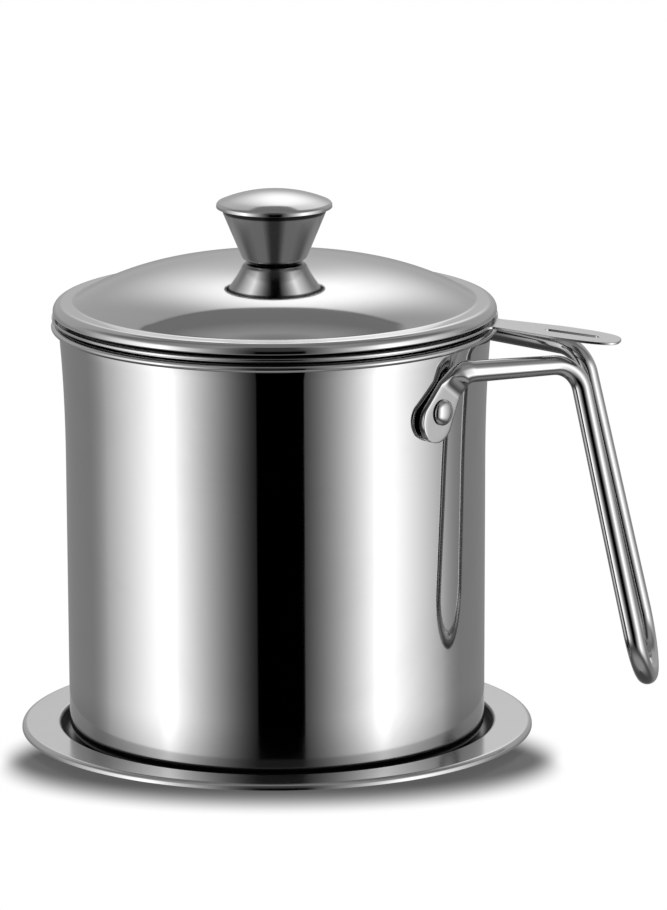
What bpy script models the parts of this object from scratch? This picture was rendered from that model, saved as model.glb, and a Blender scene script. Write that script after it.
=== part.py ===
# Bacon grease container: a steel pot with a wire handle, a lift-out strainer cup,
# a domed lid with a knob, and a drip tray that the pot stands in.
# Metres, +Z up. The origin is on the pot's axis, at the underside of the tray.
# +X points from the axis towards the handle.
import math

import bmesh
import bpy
from mathutils import Vector

# Gap kept between two pieces that touch on the real object
CLEARANCE = 0.0003

# Pot: its wall leans out a little, then flares towards a rolled rim
POT_SHEET = 0.0008
POT_BASE_RADIUS = 0.05965
POT_HEIGHT = 0.12065
POT_BASE_BEND = 0.0050
POT_WALL_LEAN = 0.00025
POT_STRAIGHT_HEIGHT = 0.0739
POT_FLARE_OUT = 0.0016
FLARE_POWER = 2.5
RIM_BEAD_HALF_WIDTH = 0.0015
RIM_BEAD_HALF_HEIGHT = 0.0011
RIM_NECK_DROP = 0.0018
RIM_BEAD_START = math.radians(-120)
RIM_BEAD_END = math.radians(180)

# Drip tray: a recess that the pot stands in, and a wide flange with a turned-down lip
TRAY_SHEET = 0.0008
TRAY_PLAY = 0.00125
TRAY_RECESS_LEAN = 0.0014
TRAY_FLANGE_WIDTH = 0.0111
TRAY_FLANGE_HEIGHT = 0.0049
TRAY_LIP_DROP = 0.0019
TRAY_FLOOR_BEND = 0.0024
TRAY_RECESS_BEND = 0.0011
TRAY_LIP_BEND = 0.0014

# Wire handle: one bent bar, its two ends pressed flat and riveted to the pot
BAR_RADIUS = 0.0028
LUG_THICKNESS = 0.0020
LUG_END_RADIUS = 0.0064
LUG_TAIL_LENGTH = 0.0026
LUG_SLOPE = math.radians(55)
LUG_FLAT_LENGTH = 0.0068
LUG_PRESSED_LENGTH = 0.0090
LUG_LENGTH = 0.0128
LUG_BEND = 0.0050
LUG_SQUARE_SHARE = 0.30
RIVET_TURN = math.radians(35.2)
RIVET_DEPTH = 0.01795
HANDLE_REACH = 0.02735
HANDLE_RISE = 0.0093
HANDLE_ELBOW_HALF_WIDTH = 0.0104
HANDLE_ELBOW_BEND = 0.0089
HANDLE_DROP = 0.0767
HANDLE_LEAN = 0.0167
HANDLE_FOOT_HALF_WIDTH = 0.0159

# Handle rivets
RIVET_SHANK_RADIUS = 0.0020
RIVET_HEAD_RADIUS = 0.0037
RIVET_HEAD_HEIGHT = 0.0016
RIVET_TAIL_RADIUS = 0.0032
RIVET_TAIL_HEIGHT = 0.0008

# Strainer: a drawn cup, a flat rim with a thumb tab, and a mesh held by a ring
CUP_SHEET = 0.0005
CUP_PLAY = 0.0018
CUP_FLANGE_LAP = 0.0007
CUP_TAPER = 0.0039
CUP_DEPTH = 0.0380
CUP_TOP_BEND = 0.0010
CUP_BOTTOM_BEND = 0.0030
CUP_SEAT_WIDTH = 0.0090
STRAINER_RIM_SHEET = 0.0008
STRAINER_RIM_LAP = 0.0028
MESH_THICKNESS = 0.0005
MESH_GRIP = 0.0040
MESH_RING_SHEET = 0.0007
MESH_RING_MARGIN = 0.0012
TAB_TURN = math.radians(-6.2)
TAB_LENGTH = 0.0364
TAB_WIDENING_LENGTH = 0.0185
TAB_ROOT_HALF_WIDTH = 0.0054
TAB_WIDEST_HALF_WIDTH = 0.0077
TAB_FILLET = 0.0018
TAB_FOLD_MARGIN = 0.0011
TAB_DROOP = math.radians(5.7)
TAB_TIP_POWER = 3.0
SLOT_TIP_MARGIN = 0.0061
SLOT_LENGTH = 0.0155
SLOT_HALF_WIDTH = 0.0014

# Lid: a dome, a flat flange with a turned-down lip, and a ring that seats it
LID_SHEET = 0.0008
LID_OVERHANG = 0.0038
LID_FLANGE_WIDTH = 0.0058
LID_DOME_RISE = 0.0112
DOME_POWER = 3.0
LID_LIP_DROP = 0.0030
LID_LIP_BEND = 0.0028
LID_DOME_BEND = 0.0020
SEAT_RING_SHEET = 0.0007
SEAT_RING_INSET = 0.0041
SEAT_RING_HEIGHT = 0.00265
SEAT_PLAY = 0.0005
SEAT_SKIRT_DEPTH = 0.0048
SEAT_RING_BEND = 0.0008

# Knob: a conical steel bowl closed by a domed top, on a threaded stem
KNOB_SHEET = 0.0008
KNOB_RADIUS = 0.01665
KNOB_HEIGHT = 0.0201
KNOB_TOP_RISE = 0.0035
KNOB_EDGE_HEIGHT = 0.0018
KNOB_EDGE_BEND = 0.0018
KNOB_OVERHANG = 0.00115
BOWL_FOOT_RADIUS = 0.0089
BOWL_BEND = 0.0020
STEM_RADIUS = 0.0042
SCREW_RADIUS = 0.0017
SCREW_LENGTH = 0.0105
SCREW_HEAD_RADIUS = 0.0036
SCREW_HEAD_HEIGHT = 0.0020
WASHER_RADIUS = 0.0052
WASHER_THICKNESS = 0.0008

# Steels: the name, the grey and the roughness of each
POLISHED_STEEL = ("polished steel", 0.72, 0.10)
SATIN_STEEL = ("satin steel", 0.62, 0.25)
KNOB_STEEL = ("knob steel", 0.45, 0.20)
MESH_STEEL = ("mesh steel", 0.55, 0.40)

# Fineness of the turned and swept pieces
BIG_SEGMENTS = 56
HIDDEN_SEGMENTS = 44
SMALL_SEGMENTS = 32
TINY_SEGMENTS = 20
BASE_BEND_STEPS = 4
BEND_STEPS = 2
BAR_SIDES = 12

# How far a cutter runs past what it cuts, the distance under which points are one,
# and the turn between two faces from which their edge is kept crisp
CUT_OVERRUN = 0.0010
WELD = 0.00001
CRISP_TURN = math.radians(32)

# Places that follow from the pot
POT_BOTTOM = TRAY_SHEET + CLEARANCE
RIM_TOP = POT_BOTTOM + POT_HEIGHT
RIM_BEAD_HEIGHT = RIM_TOP - RIM_BEAD_HALF_HEIGHT
FLARE_START = POT_BOTTOM + POT_STRAIGHT_HEIGHT
FLARE_END = RIM_BEAD_HEIGHT - RIM_NECK_DROP
POT_MOUTH_RADIUS = POT_BASE_RADIUS + POT_WALL_LEAN + POT_FLARE_OUT - POT_SHEET
TRAY_FLOOR_RADIUS = POT_BASE_RADIUS + TRAY_PLAY
TRAY_RECESS_RADIUS = TRAY_FLOOR_RADIUS + TRAY_RECESS_LEAN
TRAY_LIP_RADIUS = TRAY_RECESS_RADIUS + TRAY_FLANGE_WIDTH
RIVET_HEIGHT = RIM_TOP - RIVET_DEPTH

# Places that follow from the strainer, whose cup hangs by its flange on the pot's rim
CUP_TOP = RIM_TOP + CLEARANCE + CUP_SHEET
CUP_BOTTOM = CUP_TOP - CUP_DEPTH
CUP_FLANGE_RADIUS = POT_MOUTH_RADIUS + CUP_FLANGE_LAP
CUP_TOP_RADIUS = POT_MOUTH_RADIUS - CUP_PLAY
STRAINER_RIM_BOTTOM = CUP_TOP + CLEARANCE
STRAINER_RIM_TOP = STRAINER_RIM_BOTTOM + STRAINER_RIM_SHEET
STRAINER_RIM_RADIUS = POT_MOUTH_RADIUS + STRAINER_RIM_LAP
CUP_INNER_RADIUS = CUP_TOP_RADIUS - CUP_SHEET
CUP_BOTTOM_RADIUS = CUP_TOP_RADIUS - CUP_TAPER
CUP_MOUTH_RADIUS = CUP_BOTTOM_RADIUS - CUP_SEAT_WIDTH
MESH_RADIUS = CUP_MOUTH_RADIUS + MESH_GRIP
MESH_RING_RADIUS = MESH_RADIUS + MESH_RING_MARGIN
TAB_REACH = STRAINER_RIM_RADIUS + TAB_LENGTH
TAB_WIDEST_REACH = STRAINER_RIM_RADIUS + TAB_WIDENING_LENGTH
TAB_FOLD_REACH = POT_MOUTH_RADIUS + 2 * RIM_BEAD_HALF_WIDTH + TAB_FOLD_MARGIN
SLOT_END = TAB_REACH - SLOT_TIP_MARGIN
SLOT_START = SLOT_END - SLOT_LENGTH

# Places that follow from the lid, which sits on the strainer's rim
SEAT_BOTTOM = STRAINER_RIM_TOP + CLEARANCE
SEAT_TOP = SEAT_BOTTOM + SEAT_RING_HEIGHT
SEAT_RING_RADIUS = STRAINER_RIM_RADIUS - SEAT_RING_INSET
LID_FLANGE_TOP = SEAT_TOP + CLEARANCE + LID_SHEET
LID_LIP_RADIUS = SEAT_RING_RADIUS + LID_OVERHANG
LID_DOME_RADIUS = LID_LIP_RADIUS - LID_FLANGE_WIDTH
LID_APEX = LID_FLANGE_TOP + LID_DOME_RISE
KNOB_BASE = LID_APEX + CLEARANCE
KNOB_APEX = KNOB_BASE + KNOB_HEIGHT
BOWL_TOP_RADIUS = KNOB_RADIUS - KNOB_OVERHANG
SCREW_HOLE_RADIUS = SCREW_RADIUS + CLEARANCE
WASHER_TOP = LID_APEX - LID_SHEET - CLEARANCE
SCREW_HEAD_TOP = WASHER_TOP - WASHER_THICKNESS - CLEARANCE


def clear_scene():
    for existing in list(bpy.data.objects):
        bpy.data.objects.remove(existing, do_unlink=True)


def steel(name, shade, roughness):
    material = bpy.data.materials.new(name)
    material.use_nodes = True
    shader = material.node_tree.nodes["Principled BSDF"]
    shader.inputs["Base Color"].default_value = (shade, shade, shade, 1.0)
    shader.inputs["Metallic"].default_value = 1.0
    shader.inputs["Roughness"].default_value = roughness
    return material


def finish_mesh(name, mesh_builder, material):
    bmesh.ops.remove_doubles(mesh_builder, verts=mesh_builder.verts, dist=WELD)
    bmesh.ops.recalc_face_normals(mesh_builder, faces=mesh_builder.faces)
    mesh = bpy.data.meshes.new(name)
    mesh_builder.to_mesh(mesh)
    mesh_builder.free()
    mesh.shade_smooth()
    mesh.set_sharp_from_angle(angle=CRISP_TURN)
    piece = bpy.data.objects.new(name, mesh)
    bpy.context.scene.collection.objects.link(piece)
    piece.data.materials.append(material)
    return piece


def turned(name, outline, material, segments):
    # Spins an outline of (radius, height) points about the vertical axis.
    # An outline that starts and ends on the axis stays open there.
    builder = bmesh.new()
    verts = [builder.verts.new((radius, 0.0, height)) for radius, height in outline]
    edges = [builder.edges.new(pair) for pair in zip(verts, verts[1:])]
    if outline[0][0] > 0.0:
        edges.append(builder.edges.new((verts[-1], verts[0])))
    bmesh.ops.spin(
        builder,
        geom=verts + edges,
        cent=(0.0, 0.0, 0.0),
        axis=(0.0, 0.0, 1.0),
        angle=math.tau,
        steps=segments,
        use_merge=True,
    )
    bmesh.ops.remove_doubles(builder, verts=builder.verts, dist=WELD)
    degenerate = [face for face in builder.faces if face.calc_area() < WELD * WELD]
    bmesh.ops.delete(builder, geom=degenerate, context="FACES")
    return finish_mesh(name, builder, material)


def rounded(corners, steps=BEND_STEPS):
    # corners are (x, y, bend radius); a bent corner becomes an arc of so many chords
    points = []
    for index, (x, y, bend) in enumerate(corners):
        here = Vector((x, y))
        if bend == 0.0:
            points.append((x, y))
            continue
        before = (Vector(corners[index - 1][:2]) - here).normalized()
        after = (Vector(corners[index + 1][:2]) - here).normalized()
        half_angle = before.angle(after) / 2
        centre = here + (before + after).normalized() * (bend / math.sin(half_angle))
        start = here + before * (bend / math.tan(half_angle)) - centre
        end = here + after * (bend / math.tan(half_angle)) - centre
        for step in range(steps + 1):
            spoke = start.lerp(end, step / steps).normalized() * bend
            points.append(tuple(centre + spoke))
    return points


def sheet(face, thickness):
    # Closed outline of a sheet whose outer face follows the points; the metal lies on
    # the right of the direction of travel
    backs = []
    for index, point in enumerate(face):
        here = Vector(point)
        normals = []
        if index > 0:
            along = (here - Vector(face[index - 1])).normalized()
            normals.append(Vector((along.y, -along.x)))
        if index < len(face) - 1:
            along = (Vector(face[index + 1]) - here).normalized()
            normals.append(Vector((along.y, -along.x)))
        mean = sum(normals, Vector((0.0, 0.0))).normalized()
        reach = thickness / mean.dot(normals[0])
        back = here + mean * reach
        if point[0] == 0.0:
            back = Vector((0.0, here.y + math.copysign(thickness, back.y - here.y)))
        backs.append(tuple(back))
    return list(face) + backs[::-1]


def cut(piece, cutter, name):
    cutter.hide_render = True
    cutter.display_type = "WIRE"
    boolean = piece.modifiers.new(name, "BOOLEAN")
    boolean.operation = "DIFFERENCE"
    boolean.object = cutter


def pot_outer_radius(height):
    lean = POT_WALL_LEAN * min(1.0, height / FLARE_START)
    rise = max(0.0, height - FLARE_START) / (FLARE_END - FLARE_START)
    return POT_BASE_RADIUS + lean + POT_FLARE_OUT * rise ** FLARE_POWER


def cup_inner_radius(height):
    share = (height - CUP_BOTTOM) / (CUP_DEPTH - CUP_SHEET)
    return CUP_BOTTOM_RADIUS + CUP_TAPER * share - CUP_SHEET


def dome_height(radius):
    return LID_APEX - LID_DOME_RISE * (radius / LID_DOME_RADIUS) ** DOME_POWER


def make_drip_tray(material):
    face = rounded([
        (0.0, TRAY_SHEET, 0.0),
        (TRAY_FLOOR_RADIUS, TRAY_SHEET, TRAY_FLOOR_BEND),
        (TRAY_RECESS_RADIUS, TRAY_FLANGE_HEIGHT, TRAY_RECESS_BEND),
        (TRAY_LIP_RADIUS, TRAY_FLANGE_HEIGHT, TRAY_LIP_BEND),
        (TRAY_LIP_RADIUS, TRAY_FLANGE_HEIGHT - TRAY_LIP_DROP, 0.0),
    ])
    return turned("drip_tray", sheet(face, TRAY_SHEET), material, BIG_SEGMENTS)


def pot_outline():
    wall_steps = 6
    outer = rounded([
        (0.0, POT_BOTTOM, 0.0),
        (POT_BASE_RADIUS, POT_BOTTOM, POT_BASE_BEND),
        (pot_outer_radius(FLARE_START), FLARE_START, 0.0),
    ], BASE_BEND_STEPS)
    for step in range(1, wall_steps + 1):
        height = FLARE_START + (FLARE_END - FLARE_START) * step / wall_steps
        outer.append((pot_outer_radius(height), height))
    inner = [(radius - POT_SHEET, height) for radius, height in outer[BASE_BEND_STEPS + 2:]]
    inner_bottom = rounded([
        (0.0, POT_BOTTOM + POT_SHEET, 0.0),
        (POT_BASE_RADIUS - POT_SHEET, POT_BOTTOM + POT_SHEET, POT_BASE_BEND - POT_SHEET),
        (inner[0][0], inner[0][1], 0.0),
    ], BASE_BEND_STEPS)
    bead_centre = POT_MOUTH_RADIUS + RIM_BEAD_HALF_WIDTH
    bead_steps = 8
    bead = []
    for step in range(bead_steps + 1):
        turn = RIM_BEAD_START + (RIM_BEAD_END - RIM_BEAD_START) * step / bead_steps
        bead.append((
            bead_centre + RIM_BEAD_HALF_WIDTH * math.cos(turn),
            RIM_BEAD_HEIGHT + RIM_BEAD_HALF_HEIGHT * math.sin(turn),
        ))
    return outer + bead + inner[::-1] + inner_bottom[-2::-1]


def rivet_frame(side):
    # Position and axis of a rivet: its local +Z points out of the pot
    turn = RIVET_TURN * side
    outward = Vector((math.cos(turn), math.sin(turn), 0.0))
    rotation = Vector((0.0, 0.0, 1.0)).rotation_difference(outward)
    return Vector((0.0, 0.0, RIVET_HEIGHT)), rotation


def rivet_hole_cutter(side, name, material):
    origin, rotation = rivet_frame(side)
    hole = RIVET_SHANK_RADIUS + CLEARANCE
    near = POT_BASE_RADIUS - POT_SHEET - CUT_OVERRUN
    far = lug_inner_face() + LUG_THICKNESS + CUT_OVERRUN
    cutter = turned(name, [(0.0, near), (hole, near), (hole, far), (0.0, far)], material, TINY_SEGMENTS)
    cutter.location = origin
    cutter.rotation_mode = "QUATERNION"
    cutter.rotation_quaternion = rotation
    return cutter


def make_pot_body(material, cutters):
    pot = turned("pot_body", pot_outline(), material, BIG_SEGMENTS)
    for number, cutter in enumerate(cutters):
        cut(pot, cutter, "rivet hole %d" % number)
    return pot


def lug_inner_face():
    # Distance of the lugs' flat inner face from the axis: clear of the flared wall at the neck
    neck_height = RIVET_HEIGHT + LUG_FLAT_LENGTH * math.sin(LUG_SLOPE)
    return pot_outer_radius(neck_height) + CLEARANCE


def lug_directions():
    outward = Vector((math.cos(RIVET_TURN), math.sin(RIVET_TURN), 0.0))
    around = Vector((-math.sin(RIVET_TURN), math.cos(RIVET_TURN), 0.0))
    down_slope = around * math.cos(LUG_SLOPE) - Vector((0.0, 0.0, math.sin(LUG_SLOPE)))
    return outward, down_slope


def leg_ends():
    # Corner at the top of the left leg, and the point where its foot starts to turn
    reach = POT_BASE_RADIUS + HANDLE_REACH
    height = RIVET_HEIGHT + HANDLE_RISE
    elbow = Vector((reach, HANDLE_ELBOW_HALF_WIDTH, height))
    foot = Vector((reach + HANDLE_LEAN, HANDLE_FOOT_HALF_WIDTH, height - HANDLE_DROP))
    return elbow, foot


def bent_path(corners, steps):
    # Centre line through (point, bend radius) corners, with an arc at each bend
    path = []
    for index, (point, bend) in enumerate(corners):
        if bend == 0.0:
            path.append(point)
            continue
        before = (corners[index - 1][0] - point).normalized()
        after = (corners[index + 1][0] - point).normalized()
        half_angle = before.angle(after) / 2
        centre = point + (before + after).normalized() * (bend / math.sin(half_angle))
        start = point + before * (bend / math.tan(half_angle)) - centre
        end = point + after * (bend / math.tan(half_angle)) - centre
        for step in range(steps + 1):
            spoke = start.lerp(end, step / steps).normalized() * bend
            path.append(centre + spoke)
    return path


def half_handle_path():
    outward, down_slope = lug_directions()
    rivet = outward * (lug_inner_face() + LUG_THICKNESS / 2) + Vector((0.0, 0.0, RIVET_HEIGHT))
    neck = rivet - down_slope * LUG_FLAT_LENGTH
    bar_rise = BAR_RADIUS - LUG_THICKNESS / 2 + CLEARANCE
    corner = rivet - down_slope * LUG_LENGTH + outward * bar_rise
    elbow, foot = leg_ends()
    bend_steps = 6
    path = bent_path([
        (neck, 0.0),
        (corner, LUG_BEND),
        (elbow, HANDLE_ELBOW_BEND),
        (foot, 0.0),
    ], bend_steps)
    lug_steps = 6
    lug = []
    for step in range(lug_steps + 1):
        turn = math.pi / 2 * step / lug_steps
        lug.append(rivet + down_slope * (LUG_TAIL_LENGTH + LUG_END_RADIUS * math.cos(turn)))
    return lug + path + foot_bend()


def foot_bend():
    # Half of the turn that joins the two legs, ending on the plane between them
    elbow, foot = leg_ends()
    leg = (foot - elbow).normalized()
    forward = Vector((leg.x, 0.0, leg.z)).normalized()
    steps = 7
    points = []
    for step in range(1, steps + 1):
        turn = math.pi / 2 * step / steps
        middle = Vector((foot.x, 0.0, foot.z))
        points.append(
            middle
            + forward * (HANDLE_FOOT_HALF_WIDTH * math.sin(turn))
            + Vector((0.0, HANDLE_FOOT_HALF_WIDTH * math.cos(turn), 0.0))
        )
    return points


def smooth_share(value):
    value = min(1.0, max(0.0, value))
    return value * value * (3 - 2 * value)


def bar_section(distance):
    # Half thickness, half width and roundness of the bar at a distance from the middle of
    # the lug's round end
    if distance < 0.0:
        width = math.sqrt(max(0.0, LUG_END_RADIUS ** 2 - distance ** 2))
        return LUG_THICKNESS / 2, max(width, LUG_THICKNESS / 2), 0.0
    narrowing = min(1.0, distance / (LUG_TAIL_LENGTH + LUG_LENGTH + LUG_BEND))
    width = LUG_END_RADIUS + (BAR_RADIUS - LUG_END_RADIUS) * narrowing
    pressed = distance - LUG_TAIL_LENGTH - LUG_PRESSED_LENGTH
    rounding = smooth_share(pressed / (LUG_LENGTH - LUG_PRESSED_LENGTH))
    thickness = LUG_THICKNESS / 2 + (BAR_RADIUS - LUG_THICKNESS / 2) * rounding
    return thickness, width, rounding


def ring_points(centre, tangent, outward, distance):
    thickness, width, rounding = bar_section(distance)
    thin = (outward - tangent * outward.dot(tangent)).normalized()
    wide = tangent.cross(thin)
    squareness = LUG_SQUARE_SHARE + (1 - LUG_SQUARE_SHARE) * rounding
    points = []
    for side in range(BAR_SIDES):
        turn = math.tau * (side + 0.5) / BAR_SIDES
        across = math.copysign(abs(math.cos(turn)) ** squareness, math.cos(turn))
        through = math.copysign(abs(math.sin(turn)) ** squareness, math.sin(turn))
        points.append(centre + wide * (width * across) + thin * (thickness * through))
    return points


def bar_tangent(centres, index):
    # The last centre lies on the plane that mirrors the bar, which it crosses squarely
    if index == len(centres) - 1:
        return Vector((0.0, -1.0, 0.0))
    return (centres[index + 1] - centres[max(0, index - 1)]).normalized()


def make_handle_bar(material, cutter):
    centres = half_handle_path()
    outward = lug_directions()[0]
    builder = bmesh.new()
    rings = []
    travelled = -LUG_END_RADIUS
    for index, centre in enumerate(centres):
        if index > 0:
            travelled += (centre - centres[index - 1]).length
        points = ring_points(centre, bar_tangent(centres, index), outward, travelled)
        rings.append([builder.verts.new(point) for point in points])
    for first, second in zip(rings, rings[1:]):
        for side in range(BAR_SIDES):
            following = (side + 1) % BAR_SIDES
            builder.faces.new((first[side], first[following], second[following], second[side]))
    builder.faces.new(rings[0])
    for vertex in rings[-1]:
        vertex.co.y = 0.0
    bar = finish_mesh("handle_bar", builder, material)
    cut(bar, cutter, "rivet hole")
    mirror = bar.modifiers.new("other half", "MIRROR")
    mirror.use_axis = (False, True, False)
    mirror.use_mirror_merge = True
    mirror.merge_threshold = 2 * WELD
    return bar


def make_rivet(name, side, material):
    head_face = lug_inner_face() + LUG_THICKNESS + CLEARANCE
    wall_inside = pot_outer_radius(RIVET_HEIGHT - RIVET_TAIL_RADIUS) - POT_SHEET
    tail_face = math.sqrt(wall_inside ** 2 - RIVET_TAIL_RADIUS ** 2) - CLEARANCE
    head_steps = 5
    outline = [(0.0, tail_face - RIVET_TAIL_HEIGHT)]
    outline.append((RIVET_TAIL_RADIUS, tail_face - RIVET_TAIL_HEIGHT))
    outline.append((RIVET_TAIL_RADIUS, tail_face))
    outline.append((RIVET_SHANK_RADIUS, tail_face))
    outline.append((RIVET_SHANK_RADIUS, head_face))
    for step in range(head_steps):
        turn = math.pi / 2 * step / head_steps
        outline.append((
            RIVET_HEAD_RADIUS * math.cos(turn),
            head_face + RIVET_HEAD_HEIGHT * math.sin(turn),
        ))
    outline.append((0.0, head_face + RIVET_HEAD_HEIGHT))
    rivet = turned(name, outline, material, TINY_SEGMENTS)
    rivet.location, rotation = rivet_frame(side)
    rivet.rotation_mode = "QUATERNION"
    rivet.rotation_quaternion = rotation


def make_strainer_cup(material):
    face = rounded([
        (CUP_MOUTH_RADIUS, CUP_BOTTOM, 0.0),
        (CUP_BOTTOM_RADIUS, CUP_BOTTOM, CUP_BOTTOM_BEND),
        (CUP_TOP_RADIUS, CUP_TOP - CUP_SHEET, CUP_TOP_BEND),
        (CUP_FLANGE_RADIUS, CUP_TOP - CUP_SHEET, 0.0),
    ])
    return turned("strainer_cup", sheet(face, -CUP_SHEET), material, HIDDEN_SEGMENTS)


def tab_half_width(reach):
    beyond_rim = reach - STRAINER_RIM_RADIUS
    if reach < TAB_WIDEST_REACH:
        widening = max(0.0, beyond_rim) / TAB_WIDENING_LENGTH
        width = TAB_ROOT_HALF_WIDTH + (TAB_WIDEST_HALF_WIDTH - TAB_ROOT_HALF_WIDTH) * widening
        short = min(TAB_FILLET, max(0.0, TAB_FILLET - beyond_rim))
        return width + TAB_FILLET - math.sqrt(TAB_FILLET ** 2 - short ** 2)
    tip = (reach - TAB_WIDEST_REACH) / (TAB_REACH - TAB_WIDEST_REACH)
    return TAB_WIDEST_HALF_WIDTH * max(0.0, 1 - tip ** TAB_TIP_POWER) ** (1 / TAB_TIP_POWER)


def tab_drop(reach):
    return max(0.0, reach - TAB_FOLD_REACH) * math.tan(TAB_DROOP)


def tab_stations():
    root = STRAINER_RIM_RADIUS - TAB_FILLET
    fillet_steps = 4
    stations = [root]
    for step in range(fillet_steps + 1):
        stations.append(STRAINER_RIM_RADIUS + TAB_FILLET * step / fillet_steps)
    stations.append(TAB_FOLD_REACH)
    stations.append(TAB_WIDEST_REACH)
    tip_steps = 10
    for step in range(1, tip_steps):
        turn = math.pi / 2 * step / tip_steps
        stations.append(TAB_WIDEST_REACH + (TAB_REACH - TAB_WIDEST_REACH) * math.sin(turn))
    return sorted(stations)


def make_tab(material):
    builder = bmesh.new()
    rows = []
    for reach in tab_stations():
        half = tab_half_width(reach)
        top = STRAINER_RIM_TOP - tab_drop(reach)
        low = top - STRAINER_RIM_SHEET
        corners = [(reach, -half, low), (reach, half, low), (reach, half, top), (reach, -half, top)]
        rows.append([builder.verts.new(corner) for corner in corners])
    for first, second in zip(rows, rows[1:]):
        for side in range(4):
            following = (side + 1) % 4
            builder.faces.new((first[side], first[following], second[following], second[side]))
    builder.faces.new(rows[0])
    builder.faces.new(rows[-1])
    tab = finish_mesh("tab", builder, material)
    tab.hide_render = True
    tab.display_type = "WIRE"
    tab.rotation_euler = (0.0, 0.0, TAB_TURN)
    return tab


def make_slot_cutter(material):
    builder = bmesh.new()
    steps = 8
    outline = []
    far_centre = SLOT_END - SLOT_HALF_WIDTH
    near_centre = SLOT_START + SLOT_HALF_WIDTH
    for centre, start_turn in ((far_centre, -math.pi / 2), (near_centre, math.pi / 2)):
        for step in range(steps + 1):
            turn = start_turn + math.pi * step / steps
            outline.append((
                centre + SLOT_HALF_WIDTH * math.cos(turn),
                SLOT_HALF_WIDTH * math.sin(turn),
            ))
    low = STRAINER_RIM_BOTTOM - tab_drop(SLOT_END) - CUT_OVERRUN
    base = builder.faces.new([builder.verts.new((x, y, low)) for x, y in outline])
    lifted = bmesh.ops.extrude_face_region(builder, geom=[base])
    moved = [item for item in lifted["geom"] if isinstance(item, bmesh.types.BMVert)]
    height = STRAINER_RIM_TOP + CUT_OVERRUN - low
    bmesh.ops.translate(builder, verts=moved, vec=(0.0, 0.0, height))
    cutter = finish_mesh("slot_cutter", builder, material)
    cutter.rotation_euler = (0.0, 0.0, TAB_TURN)
    return cutter


def make_strainer_rim(material):
    outline = [
        (CUP_INNER_RADIUS, STRAINER_RIM_BOTTOM),
        (STRAINER_RIM_RADIUS, STRAINER_RIM_BOTTOM),
        (STRAINER_RIM_RADIUS, STRAINER_RIM_TOP),
        (CUP_INNER_RADIUS, STRAINER_RIM_TOP),
    ]
    rim = turned("strainer_rim", outline, material, BIG_SEGMENTS)
    join = rim.modifiers.new("thumb tab", "BOOLEAN")
    join.operation = "UNION"
    join.object = make_tab(material)
    cut(rim, make_slot_cutter(material), "tab slot")
    return rim


def make_strainer_mesh(material):
    top = CUP_BOTTOM - CLEARANCE
    low = top - MESH_THICKNESS
    outline = [(0.0, low), (MESH_RADIUS, low), (MESH_RADIUS, top), (0.0, top)]
    return turned("strainer_mesh", outline, material, HIDDEN_SEGMENTS)


def make_mesh_retaining_ring(material):
    top = CUP_BOTTOM - MESH_THICKNESS - 2 * CLEARANCE
    low = top - MESH_RING_SHEET
    outline = [
        (CUP_MOUTH_RADIUS, low),
        (MESH_RING_RADIUS, low),
        (MESH_RING_RADIUS, top),
        (CUP_MOUTH_RADIUS, top),
    ]
    return turned("mesh_retaining_ring", outline, material, HIDDEN_SEGMENTS)


def lid_face():
    dome_steps = 9
    face = []
    for step in range(dome_steps):
        radius = (LID_DOME_RADIUS - LID_DOME_BEND) * step / (dome_steps - 1)
        if step == 0:
            radius = SCREW_HOLE_RADIUS
        face.append((radius, dome_height(radius)))
    last_radius, last_height = face[-1]
    edge = rounded([
        (last_radius, last_height, 0.0),
        (LID_DOME_RADIUS, LID_FLANGE_TOP, LID_DOME_BEND),
        (LID_LIP_RADIUS, LID_FLANGE_TOP, LID_LIP_BEND),
        (LID_LIP_RADIUS, LID_FLANGE_TOP - LID_LIP_DROP, 0.0),
    ])
    return face + edge[1:]


def make_lid(material):
    return turned("lid", sheet(lid_face(), LID_SHEET), material, BIG_SEGMENTS)


def make_lid_seat_ring(material):
    skirt_end = SEAT_BOTTOM - SEAT_SKIRT_DEPTH
    skirt_radius = cup_inner_radius(skirt_end) - SEAT_PLAY
    face = rounded([
        (SEAT_RING_RADIUS, SEAT_TOP, 0.0),
        (SEAT_RING_RADIUS, SEAT_BOTTOM, SEAT_RING_BEND),
        (skirt_radius, SEAT_BOTTOM, SEAT_RING_BEND),
        (skirt_radius, skirt_end, 0.0),
    ])
    return turned("lid_seat_ring", sheet(face, SEAT_RING_SHEET), material, HIDDEN_SEGMENTS)


def knob_top_height(radius):
    sphere = (KNOB_RADIUS ** 2 + KNOB_TOP_RISE ** 2) / (2 * KNOB_TOP_RISE)
    return KNOB_APEX - sphere + math.sqrt(sphere ** 2 - radius ** 2)


def make_knob_top(material):
    steps = 6
    corners = []
    for step in range(steps + 1):
        radius = KNOB_RADIUS * step / steps
        bend = KNOB_EDGE_BEND if step == steps else 0.0
        corners.append((radius, knob_top_height(radius), bend))
    corners.append((KNOB_RADIUS, KNOB_APEX - KNOB_TOP_RISE - KNOB_EDGE_HEIGHT, 0.0))
    return turned("knob_top", sheet(rounded(corners), KNOB_SHEET), material, SMALL_SEGMENTS)


def make_knob_bowl(material):
    rim = knob_top_height(BOWL_TOP_RADIUS) - KNOB_SHEET - 2 * CLEARANCE
    face = rounded([
        (SCREW_HOLE_RADIUS, KNOB_BASE, 0.0),
        (BOWL_FOOT_RADIUS, KNOB_BASE, BOWL_BEND),
        (BOWL_TOP_RADIUS, rim, 0.0),
    ])
    return turned("knob_bowl", sheet(face, -KNOB_SHEET), material, SMALL_SEGMENTS)


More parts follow.
